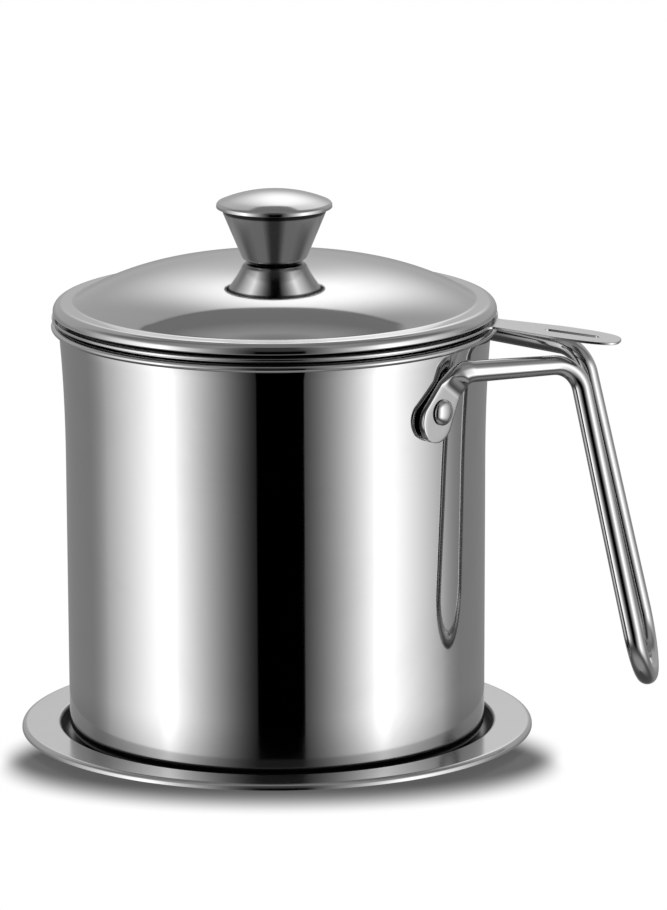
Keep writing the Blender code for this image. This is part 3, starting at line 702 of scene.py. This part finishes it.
def tab_half_width(reach):
    # Widens from the root to the widest place, and closes in a full, flat curve at the tip
    if reach < TAB_WIDEST_REACH:
        share = max(0.0, reach - RIM_RADIUS) / (TAB_WIDEST_REACH - RIM_RADIUS)
        short = min(TAB_FILLET, max(0.0, TAB_FILLET - (reach - RIM_RADIUS)))
        fillet = TAB_FILLET - math.sqrt(TAB_FILLET ** 2 - short ** 2)
        return TAB_ROOT_HALF + (TAB_WIDEST_HALF - TAB_ROOT_HALF) * share + fillet
    tip = (reach - TAB_WIDEST_REACH) / (TAB_REACH - TAB_WIDEST_REACH)
    return TAB_WIDEST_HALF * max(0.0, 1 - tip ** 3) ** (1 / 3)


def tab_side():
    # One long edge of the tab, from its root to the middle of its tip
    fold_end = TAB_FOLD + FOLD_EASE
    reaches = [RIM_RADIUS + (fold_end - RIM_RADIUS) * step / 12 for step in range(13)]
    reaches += [fold_end + (TAB_WIDEST_REACH - fold_end) * step / 10 for step in range(1, 11)]
    for step in range(1, 25):
        turn = math.pi / 2 * step / 24
        reaches.append(TAB_WIDEST_REACH + (TAB_REACH - TAB_WIDEST_REACH) * math.sin(turn))
    return [Vector((reach, tab_half_width(reach))) for reach in reaches]


def flat_stamping(loops, creases):
    # Fills the outer loop less the other loops with triangles that keep to the creases,
    # which are pairs of points of the outer loop
    points, edges = [], list(creases)
    for loop in loops:
        first = len(points)
        points += loop
        edges += [(first + i, first + (i + 1) % len(loop)) for i in range(len(loop))]
    verts, _, faces, _, _, _ = delaunay_2d_cdt(points, edges, [], 1, 1e-7)
    return verts, faces


def stamped_rim(name):
    side = tab_side()
    root = math.atan2(side[0].y, math.sqrt(RIM_RADIUS ** 2 - side[0].y ** 2))
    side[0] = Vector((RIM_RADIUS * math.cos(root), RIM_RADIUS * math.sin(root)))
    outer = [Vector((point.x, -point.y)) for point in side] + side[-2::-1]
    for step in range(1, RIM_STEPS):
        turn = root + (math.tau - 2 * root) * step / RIM_STEPS
        outer.append(Vector((RIM_RADIUS * math.cos(turn), RIM_RADIUS * math.sin(turn))))
    inner = []
    for step in range(RIM_STEPS):
        turn = math.tau * step / RIM_STEPS
        inner.append(Vector((RIM_INNER_RADIUS * math.cos(turn), RIM_INNER_RADIUS * math.sin(turn))))
    slot = []
    for centre, start in ((SLOT_END - SLOT_HALF, -90), (SLOT_START + SLOT_HALF, 90)):
        for step in range(SLOT_END_STEPS + 1):
            turn = math.radians(start + 180 * step / SLOT_END_STEPS)
            slot.append(Vector((centre + SLOT_HALF * math.cos(turn), SLOT_HALF * math.sin(turn))))
    last = 2 * len(side) - 2
    creases = [(i, last - i) for i in range(1, len(side) - 1) if side[i].x < SLOT_START - FOLD_EASE]
    verts, faces = flat_stamping([outer, inner, slot], creases)
    mesh = bmesh.new()
    flat = [mesh.verts.new((point.x, point.y, RIM_TOP)) for point in verts]
    slot_middle = (SLOT_START + SLOT_END) / 2
    slot_straight = (SLOT_END - SLOT_START) / 2 - SLOT_HALF
    for corners in faces:
        # Triangles in the slot and in the ring's hole are left out
        middle = sum((verts[i] for i in corners), Vector((0.0, 0.0))) / len(corners)
        reach_past = max(abs(middle.x - slot_middle) - slot_straight, 0.0)
        in_slot = math.hypot(reach_past, middle.y) < SLOT_HALF * 0.995 and middle.x > RIM_RADIUS
        if middle.length > RIM_INNER_RADIUS * 0.9999 and not in_slot:
            mesh.faces.new([flat[i] for i in corners])
    loose = [vertex for vertex in mesh.verts if not vertex.link_faces]
    bmesh.ops.delete(mesh, geom=loose, context="VERTS")
    lower = bmesh.ops.extrude_face_region(mesh, geom=mesh.faces[:])
    sunk = [item for item in lower["geom"] if isinstance(item, bmesh.types.BMVert)]
    bmesh.ops.translate(mesh, verts=sunk, vec=(0.0, 0.0, -RIM_SHEET))
    for vertex in mesh.verts:
        past = vertex.co.x - TAB_FOLD
        if abs(past) < FOLD_EASE:
            vertex.co.z -= math.tan(TAB_DROOP) * (past + FOLD_EASE) ** 2 / (4 * FOLD_EASE)
        elif past > 0.0:
            vertex.co.z -= math.tan(TAB_DROOP) * past
    rim = finished(name, mesh, edge=0.00022)
    turn = Vector((math.cos(TAB_TURN), math.sin(TAB_TURN)))
    for vertex in rim.data.vertices:
        x, y = vertex.co.x, vertex.co.y
        vertex.co.x = x * turn.x - y * turn.y
        vertex.co.y = x * turn.y + y * turn.x
    return rim


stamped = stamped_rim("stamped_rim_and_tab")
tab_steel = spun_steel(
    "brushed_tab_steel",
    shade=0.62, roughness=0.14, line_size=0.00045, line_depth=0.0000008, cloud=0.05,
)
stamped.data.materials.append(tab_steel)
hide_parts("strainer_rim")
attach(stamped, "strainer")


# Lid: one pressed sheet of steel with a shallow dome, a flat flange and a turned-down
# lip. The outside is polished like the pot, and the knob is screwed to its middle.
LID_SHEET = 0.0008
LID_APEX = 0.1389
LID_DOME_RISE = 0.0112
LID_DOME_RADIUS = 0.0574
LID_FLANGE_TOP = 0.1277
LID_LIP_RADIUS = 0.0632
LID_LIP_DROP = 0.0030
LID_DOME_BEND = 0.0020
LID_LIP_BEND = 0.0026
LID_DOME_SHORT = 0.0022
LID_DOME_STEPS = 48
SCREW_HOLE = 0.0020


def dome_height(radius):
    return LID_APEX - LID_DOME_RISE * (radius / LID_DOME_RADIUS) ** 3


lid_face = []
dome_reach = LID_DOME_RADIUS - LID_DOME_SHORT - SCREW_HOLE
for step in range(LID_DOME_STEPS + 1):
    radius = SCREW_HOLE + dome_reach * step / LID_DOME_STEPS
    lid_face.append(Vector((radius, dome_height(radius))))
lid_edge = bent_profile([
    (lid_face[-1].x, lid_face[-1].y, 0.0),
    (LID_DOME_RADIUS, LID_FLANGE_TOP, LID_DOME_BEND),
    (LID_LIP_RADIUS, LID_FLANGE_TOP, LID_LIP_BEND),
    (LID_LIP_RADIUS, LID_FLANGE_TOP - LID_LIP_DROP, 0.0),
], steps=12)
lid = spun("lid_sheet", folded_sheet(lid_face + lid_edge[1:], LID_SHEET), steps=320)
lid_steel = spun_steel(
    "polished_lid_steel",
    shade=0.60, roughness=0.055, line_size=0.0005, line_depth=0.0000006, cloud=0.03,
)
lid.data.materials.append(lid_steel)
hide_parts("lid")
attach(lid, "lid_with_knob")


# Lid seat: a ring rolled from thin dull steel under the lid's flange, its grey painted
# dark as shade in the gap under the lid's lip. Its skirt drops into the strainer and
# keeps the lid from sliding off.
SEAT_SHEET = 0.0007
SEAT_RADIUS = 0.0594
SEAT_TOP = 0.1266
SEAT_BOTTOM = 0.12395
SEAT_SKIRT_RADIUS = 0.0576
SEAT_SKIRT_DEPTH = 0.0048
SEAT_BEND = 0.0008

seat_face = bent_profile([
    (SEAT_RADIUS, SEAT_TOP, 0.0),
    (SEAT_RADIUS, SEAT_BOTTOM, SEAT_BEND),
    (SEAT_SKIRT_RADIUS, SEAT_BOTTOM, SEAT_BEND),
    (SEAT_SKIRT_RADIUS, SEAT_BOTTOM - SEAT_SKIRT_DEPTH, 0.0),
], steps=6)
seat = spun("lid_seat_sheet", folded_sheet(seat_face, SEAT_SHEET), steps=200, edge=0.00015)
# Painted shade: the seat's grey is set dark so that the gap round it reads as shade
seat_steel = spun_steel(
    "dull_seat_steel_painted_shade",
    shade=0.20, roughness=0.30, line_size=0.00040, line_depth=0.0000012, cloud=0.06,
)
seat.data.materials.append(seat_steel)
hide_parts("lid_seat_ring")
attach(seat, "lid_with_knob")


# Knob: a spun steel bowl, closed by a domed steel cap whose edge overhangs it. It
# stands on the middle of the lid, and the seam under the cap is darkened with painted shade.
KNOB_SHEET = 0.0008
KNOB_BASE = 0.1392
KNOB_APEX = 0.1593
KNOB_RADIUS = 0.01650
KNOB_CAP_RISE = 0.0035
KNOB_CAP_EDGE = 0.0013
KNOB_CAP_BEND = 0.0011
KNOB_CAP_STEPS = 12
BOWL_TOP_RADIUS = 0.0154
BOWL_FOOT_RADIUS = 0.0089
BOWL_BEND = 0.0020
SEAM_HEIGHT = 0.1531
SEAM_FADE = 0.0003
SEAM_PAINTED_SHADE = 0.10


def knob_cap_height(radius):
    # The cap is part of a ball
    ball = (KNOB_RADIUS ** 2 + KNOB_CAP_RISE ** 2) / (2 * KNOB_CAP_RISE)
    return KNOB_APEX - ball + math.sqrt(ball ** 2 - radius ** 2)


knob_steel = spun_steel(
    "spun_knob_steel",
    shade=0.58, roughness=0.08, line_size=0.00030, line_depth=0.0000008, cloud=0.05,
)

bowl_face = bent_profile([
    (SCREW_HOLE, KNOB_BASE, 0.0),
    (BOWL_FOOT_RADIUS, KNOB_BASE, BOWL_BEND),
    (BOWL_TOP_RADIUS, knob_cap_height(BOWL_TOP_RADIUS) - KNOB_SHEET - 2 * FIT_GAP, 0.0),
])
bowl = spun("knob_bowl_sheet", folded_sheet(bowl_face, -KNOB_SHEET), steps=128, edge=0.00015)
bowl_steel = spun_steel(
    "spun_bowl_steel",
    shade=0.58, roughness=0.12, line_size=0.00030, line_depth=0.0000008, cloud=0.05,
)
# Painted shade: the top of the bowl, in the seam under the cap, is painted dark
painted_shade_by_height(
    bowl_steel,
    low=SEAM_HEIGHT - SEAM_FADE, high=SEAM_HEIGHT + SEAM_FADE, below=1.0, above=SEAM_PAINTED_SHADE,
)
bowl.data.materials.append(bowl_steel)
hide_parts("knob_bowl")
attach(bowl, "lid_with_knob")

cap_corners = []
for step in range(KNOB_CAP_STEPS - 1):
    radius = KNOB_RADIUS * step / KNOB_CAP_STEPS
    cap_corners.append((radius, knob_cap_height(radius), 0.0))
cap_corners.append((KNOB_RADIUS, knob_cap_height(KNOB_RADIUS), KNOB_CAP_BEND))
cap_corners.append((KNOB_RADIUS, KNOB_APEX - KNOB_CAP_RISE - KNOB_CAP_EDGE, 0.0))
cap_outline = folded_sheet(bent_profile(cap_corners), KNOB_SHEET)
cap = spun("knob_cap_sheet", cap_outline, steps=128, edge=0.00015)
cap.data.materials.append(knob_steel)
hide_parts("knob_top")
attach(cap, "lid_with_knob")


# Knob fixing: a threaded steel stem inside the knob, and a pan-head screw with a washer
# that comes up through the lid. None of it shows while the lid is on.
STEM_RADIUS = 0.0042
SCREW_RADIUS = 0.0017
SCREW_LENGTH = 0.0105
SCREW_HEAD_RADIUS = 0.0036
SCREW_HEAD_RISE = 0.0020
WASHER_RADIUS = 0.0052
WASHER_SHEET = 0.0008
washer_top = LID_APEX - LID_SHEET - FIT_GAP
screw_head_top = washer_top - WASHER_SHEET - FIT_GAP
fixing_steel = spun_steel(
    "turned_fixing_steel",
    shade=0.52, roughness=0.20, line_size=0.00030, line_depth=0.0000015, cloud=0.08,
)

stem_low = KNOB_BASE + KNOB_SHEET + FIT_GAP
stem_top = knob_cap_height(STEM_RADIUS) - KNOB_SHEET - FIT_GAP
bore_top = screw_head_top + SCREW_LENGTH + FIT_GAP
stem = spun("knob_stem_rod", [
    (SCREW_HOLE, stem_low), (STEM_RADIUS, stem_low), (STEM_RADIUS, stem_top),
    (0.0, stem_top), (0.0, bore_top), (SCREW_HOLE, bore_top),
], steps=64)
washer = spun("screw_washer_disc", [
    (SCREW_HOLE, washer_top - WASHER_SHEET), (WASHER_RADIUS, washer_top - WASHER_SHEET),
    (WASHER_RADIUS, washer_top), (SCREW_HOLE, washer_top),
], steps=64)
screw = spun("pan_head_screw", [
    (0.0, screw_head_top - SCREW_HEAD_RISE),
    (SCREW_HEAD_RADIUS - SCREW_HEAD_RISE / 2, screw_head_top - SCREW_HEAD_RISE),
    (SCREW_HEAD_RADIUS, screw_head_top - SCREW_HEAD_RISE / 2),
    (SCREW_HEAD_RADIUS, screw_head_top),
    (SCREW_RADIUS, screw_head_top),
    (SCREW_RADIUS, screw_head_top + SCREW_LENGTH),
    (0.0, screw_head_top + SCREW_LENGTH),
], steps=64)
for fixing, node_name in ((stem, "knob_stem"), (washer, "screw_washer"), (screw, "lid_screw")):
    fixing.data.materials.append(fixing_steel)
    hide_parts(node_name)
    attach(fixing, "lid_with_knob")


# Studio: polished steel looks like what stands round it. In front are two tall soft
# banks of light either side of a narrow black flag; behind are a round soft glow and,
# overhead, a flat grey card. The background itself is plain white.
BANK_INNER_TURN = 2.1
BANK_TURN = 56.0
BANK_MIDDLE = 62.0
BANK_OUTER_TURN = 70.0
BANK_FADE_TURN = 123.0
BANK_PEAK = 0.10
BANK_PEAK_TURN = 8.0
BACK_GREY = 0.45
BACK_HIGH_GREY = 0.58
FLAG_FROM = -10.0
FLAG_TO = 16.1
FLAG_EDGE = 0.3
FLAG_HIGH_GREY = 0.20
HIGH_MIDDLE_GREY = 0.22
HIGH_SIDE_GREY = 0.50
HIGH_BACK_GREY = 0.36
CEILING_GREY = 0.46
GLOW_TURN = 177.5
GLOW_TILT = 36.0
GLOW_ASIDE_SCALE = 0.92
GLOW_ABOVE_SCALE = 0.75
GLOW_CORE = 3.0
GLOW_REACH = 23.0
CARD_MIDDLE = -0.03
CARD_SIDE = 0.47
CARD_SIDE_END = 0.51
CARD_BACK = -0.88
CARD_BACK_END = -0.92
CARD_GREY = 0.42
CARD_BAND_GREY = 0.54
TABLE_NEAR_GREY = 0.52
TABLE_FAR_GREY = 0.26
TABLE_EDGE_GREY = 0.28
SCREEN_CURVE = 2.2
STUDIO_BRIGHTNESS = 1.65
SOFT_FILL = 0.55

world = bpy.data.worlds.new("studio")
bpy.context.scene.world = world
world.use_nodes = True
add, feed, work, spread = nodes_of(world)
direction = add("ShaderNodeTexCoord").outputs["Generated"]


# These add their nodes to whatever add, feed and work were last made for: the world here
def part_along(axis):
    dot = add("ShaderNodeVectorMath", operation="DOT_PRODUCT")
    feed(dot.inputs[0], direction)
    dot.inputs[1].default_value = axis
    return dot.outputs["Value"]


def blended(first, second, share):
    rest = work("SUBTRACT", 1.0, share)
    return work("ADD", work("MULTIPLY", first, rest), work("MULTIPLY", second, share))


def distance(first, second):
    return work("ABSOLUTE", work("SUBTRACT", first, second))


def backdrop(colour, strength):
    background = add("ShaderNodeBackground")
    feed(background.inputs["Color"], colour)
    background.inputs["Strength"].default_value = strength
    return background.outputs[0]


def chosen(share, first, second):
    choice = add("ShaderNodeMixShader")
    for socket, value in zip(choice.inputs, (share, first, second)):
        feed(socket, value)
    return choice.outputs[0]


# A direction by its turn from straight in front and its tilt above the level, in degrees
to_front = Vector((math.sin(CAMERA_TURN), -math.cos(CAMERA_TURN), 0.0))
side = part_along(to_right)
front = part_along(to_front)
upward = part_along((0.0, 0.0, 1.0))
turn = work("DEGREES", work("ARCTAN2", side, front))
away = work("ABSOLUTE", turn)
tilt = work("DEGREES", work("ARCSINE", upward))

# In front: the two banks, less the flag between them; higher up all of it turns grey
bank_inside = spread(away, BANK_INNER_TURN, BANK_TURN, 0.0, 1.0)
bank_outside = spread(away, BANK_OUTER_TURN, BANK_FADE_TURN, 1.0, BACK_GREY)
from_bank_middle = distance(away, BANK_MIDDLE)
bank_peak = spread(from_bank_middle, 0.0, BANK_PEAK_TURN, BANK_PEAK, 0.0, soft=True)
banks = work("ADD", work("MINIMUM", bank_inside, bank_outside), bank_peak)
flag_left = spread(turn, FLAG_FROM, FLAG_FROM + FLAG_EDGE, 0.0, 1.0)
flag_right = spread(turn, FLAG_TO - FLAG_EDGE, FLAG_TO, 1.0, 0.0)
flag = work("MULTIPLY", flag_left, flag_right)
in_front = work("MULTIPLY", banks, work("SUBTRACT", 1.0, flag))
over_flag = spread(tilt, 4.0, 22.0, 0.0, FLAG_HIGH_GREY, soft=True)
in_front = work("MAXIMUM", in_front, over_flag)
high_middle = spread(away, 12.0, 35.0, HIGH_MIDDLE_GREY, HIGH_SIDE_GREY)
high_back = spread(away, 70.0, 110.0, HIGH_SIDE_GREY, HIGH_BACK_GREY)
high_front = work("MINIMUM", high_middle, high_back)
high_front = blended(high_front, CEILING_GREY, spread(tilt, 62.0, 72.0, 0.0, 1.0, soft=True))
in_front = blended(in_front, high_front, spread(tilt, 12.0, 38.0, 0.0, 1.0, soft=True))

# Behind: a grey wall with a soft glow on it
behind = spread(tilt, -12.0, 5.0, BACK_GREY, BACK_HIGH_GREY)
round_turn = work("WRAP", turn, 360.0, 0.0)
glow_aside = work("MULTIPLY", distance(round_turn, GLOW_TURN), GLOW_ASIDE_SCALE)
glow_above = work("MULTIPLY", work("SUBTRACT", tilt, GLOW_TILT), GLOW_ABOVE_SCALE)
glow_squares = [work("POWER", glow_aside, 2.0), work("POWER", work("ABSOLUTE", glow_above), 2.0)]
from_glow = work("SQRT", work("ADD", *glow_squares))
glow = spread(from_glow, GLOW_CORE, GLOW_REACH, 1.0, 0.0, soft=True)
behind = blended(behind, 1.0, glow)
around = blended(in_front, behind, spread(away, 105.0, 128.0, 0.0, 1.0))

# Below: the table's dark edge, and the table itself, lighter towards the front
around = blended(around, TABLE_EDGE_GREY, spread(tilt, -22.0, -42.0, 0.0, 1.0, soft=True))
table = spread(away, 60.0, 150.0, TABLE_NEAR_GREY, TABLE_FAR_GREY, soft=True)
around = blended(around, table, spread(tilt, -38.0, -60.0, 0.0, 1.0, soft=True))

# Overhead: a flat card. Its back edge slants towards the sides and is darker, and one
# lighter band runs across it.
above = work("MAXIMUM", upward, 0.001)
card_aside = distance(work("DIVIDE", side, above), CARD_MIDDLE)
card_along = work("DIVIDE", front, above)
card_back = work("SUBTRACT", card_along, spread(card_aside, 0.14, 0.42, 0.0, 0.08))
card_sides = spread(card_aside, CARD_SIDE, CARD_SIDE_END, 1.0, 0.0)
card = work("MULTIPLY", card_sides, spread(card_back, CARD_BACK_END, CARD_BACK, 0.0, 1.0))
card = work("MULTIPLY", card, spread(card_along, 0.05, 0.30, 1.0, 0.0))
band_back = spread(card_along, -0.60, -0.41, CARD_GREY, CARD_BAND_GREY)
band_front = spread(card_along, -0.40, -0.34, CARD_BAND_GREY, CARD_GREY)
card_grey = work("MINIMUM", band_back, band_front)
card_grey = work("MINIMUM", card_grey, spread(card_back, CARD_BACK, -0.84, 0.34, 0.60))
around = blended(around, card_grey, card)

# The steel mirrors the studio; the camera sees plain white, and dull things get soft fill
studio = backdrop(work("POWER", around, SCREEN_CURVE), STUDIO_BRIGHTNESS)
plain = backdrop((1.0, 1.0, 1.0, 1.0), 1.0)
soft_fill = backdrop((1.0, 1.0, 1.0, 1.0), SOFT_FILL)
rays = add("ShaderNodeLightPath")
seen = chosen(rays.outputs["Is Glossy Ray"], soft_fill, studio)
final = chosen(rays.outputs["Is Camera Ray"], seen, plain)
feed(world.node_tree.nodes["World Output"].inputs["Surface"], final)


# Floor and lamp: a plain white table and one wide soft lamp over it. Close round the
# tray the camera sees a painted shadow drawn in the table's colour, with a little of the
# tray's real shadow mixed in; further out it is as white as the background.
FLOOR_SIZE = 6.0
LAMP_SIZE = 0.7
LAMP_PLACE = Vector((0.0, 0.5, 1.2))
LAMP_WATTS = 11.0
PAINTED_SHADOW_RIGHT = 0.0012
PAINTED_SHADOW_FORWARD = 0.0300
PAINTED_SHADOW_HALF_WIDTH = 0.0758
PAINTED_SHADOW_HALF_DEPTH = 0.0440
PAINTED_SHADOW_EDGE_ACROSS = 0.064
PAINTED_SHADOW_EDGE_FORWARD = 0.34
PAINTED_SHADOW_GREY = 0.355
REAL_SHADOW_SHARE = 0.08
FLOOR_ROUGHNESS = 0.9
FLOOR_GRAIN = 40.0

floor_mesh = bmesh.new()
bmesh.ops.create_grid(floor_mesh, x_segments=1, y_segments=1, size=FLOOR_SIZE / 2)
floor = finished("white_floor", floor_mesh, edge=0.0)
floor.visible_glossy = False
floor_white = bpy.data.materials.new("white_floor_with_painted_shadow")
floor_white.use_nodes = True
add, feed, work, spread = nodes_of(floor_white)
direction = add("ShaderNodeTexCoord").outputs["Object"]
across = work("DIVIDE", work("SUBTRACT", part_along(to_right), PAINTED_SHADOW_RIGHT), PAINTED_SHADOW_HALF_WIDTH)
forward = work("DIVIDE", work("SUBTRACT", part_along(to_front), PAINTED_SHADOW_FORWARD), PAINTED_SHADOW_HALF_DEPTH)


def length_of(first, second):
    squares = [work("MULTIPLY", first, first), work("MULTIPLY", second, second)]
    return work("SQRT", work("ADD", *squares))


# The painted shadow is an oval; its edge is sharp at the sides and soft towards the front
from_middle = work("MAXIMUM", length_of(across, forward), 0.001)
edge_across = work("MULTIPLY", across, PAINTED_SHADOW_EDGE_ACROSS)
edge_forward = work("MULTIPLY", forward, PAINTED_SHADOW_EDGE_FORWARD)
edge = work("DIVIDE", length_of(edge_across, edge_forward), from_middle)
past_edge = work("DIVIDE", work("SUBTRACT", from_middle, 1.0), edge)
# shade is the painted shadow: one inside the oval, none outside
shade = spread(past_edge, -1.0, 1.0, 1.0, 0.0, soft=True)
floor_shader = floor_white.node_tree.nodes["Principled BSDF"]
floor_shader.inputs["Roughness"].default_value = FLOOR_ROUGHNESS
floor_shader.inputs["Specular IOR Level"].default_value = 0.0
grain = add("ShaderNodeTexNoise")
grain.inputs["Scale"].default_value = FLOOR_GRAIN
feed(floor_shader.inputs["Base Color"], spread(grain.outputs[0], 0.0, 1.0, 0.95, 0.97))
# For the camera the table is painted: white outside the oval, painted shadow grey inside it, with a
# small share of the lit floor and its real shadow
white = add("ShaderNodeEmission")
painted_shadow_grey = spread(shade, 0.0, 1.0, 1.0, PAINTED_SHADOW_GREY)
feed(white.inputs["Strength"], work("POWER", painted_shadow_grey, SCREEN_CURVE))
camera_rays = add("ShaderNodeLightPath").outputs["Is Camera Ray"]
drawn_share = work("SUBTRACT", 1.0, work("MULTIPLY", shade, REAL_SHADOW_SHARE))
drawn = work("MULTIPLY", camera_rays, drawn_share)
floor_seen = chosen(drawn, floor_shader.outputs[0], white.outputs[0])
feed(floor_white.node_tree.nodes["Material Output"].inputs["Surface"], floor_seen)
floor.data.materials.append(floor_white)

lamp_data = bpy.data.lights.new("soft_lamp", "AREA")
lamp_data.shape = "DISK"
lamp_data.size = LAMP_SIZE
lamp_data.energy = LAMP_WATTS
lamp = bpy.data.objects.new("soft_lamp", lamp_data)
lamp.location = LAMP_PLACE
lamp.rotation_euler = LAMP_PLACE.to_track_quat("Z", "Y").to_euler()
lamp.visible_glossy = False
bpy.context.scene.collection.objects.link(lamp)

bpy.context.scene.view_settings.view_transform = "Standard"
